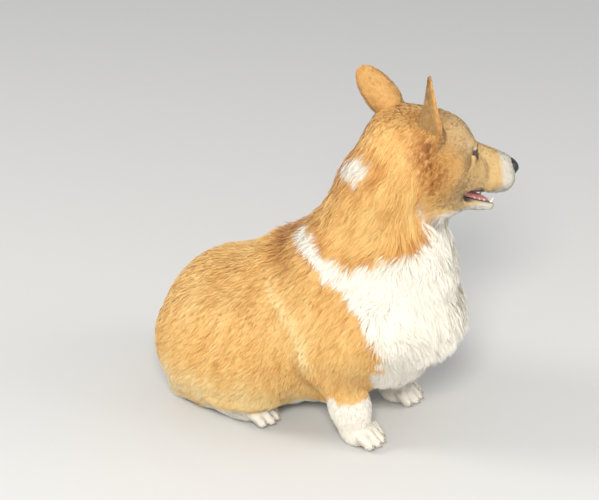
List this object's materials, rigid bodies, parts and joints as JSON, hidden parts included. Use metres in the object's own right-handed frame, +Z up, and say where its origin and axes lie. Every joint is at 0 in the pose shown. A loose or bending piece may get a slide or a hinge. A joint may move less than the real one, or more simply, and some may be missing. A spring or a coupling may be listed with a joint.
{
  "type": "pembroke welsh corgi",
  "caption": "Seated pembroke welsh corgi, a short-legged, prick-eared dog with a fox-like head turned over its shoulder, parted mouth and a docked tail; a still life-size display model.",
  "frame": {"origin": "centre of the bounding box, on the floor under the dog", "axes": "+Z up; -Y forward, the way the chest faces; +X toward the dog's left side"},
  "size_m": [0.2517, 0.4098, 0.4588],
  "materials": {
    "coat": "golden-orange short to medium coat, soft and matte",
    "white_coat": "white coat, soft and matte",
    "nose_leather": "black, pebbled and slightly moist",
    "tongue": "pink, wet",
    "eye": "dark brown, wet and clear"
  },
  "bodies": {
    "root": {"head": "coat", "muzzle": "coat", "ear_left": "coat", "ear_right": "coat", "torso": "coat", "tail": "coat", "foreleg_left": "coat", "foreleg_right": "coat", "hindleg_left": "coat", "hindleg_right": "coat", "neck": "white_coat", "lower_jaw": "white_coat", "forepaw_left": "white_coat", "forepaw_right": "white_coat", "hindpaw_left": "white_coat", "hindpaw_right": "white_coat", "nose": "nose_leather", "tongue": "tongue", "eye_left": "eye", "eye_right": "eye"}
  },
  "joints": []
}
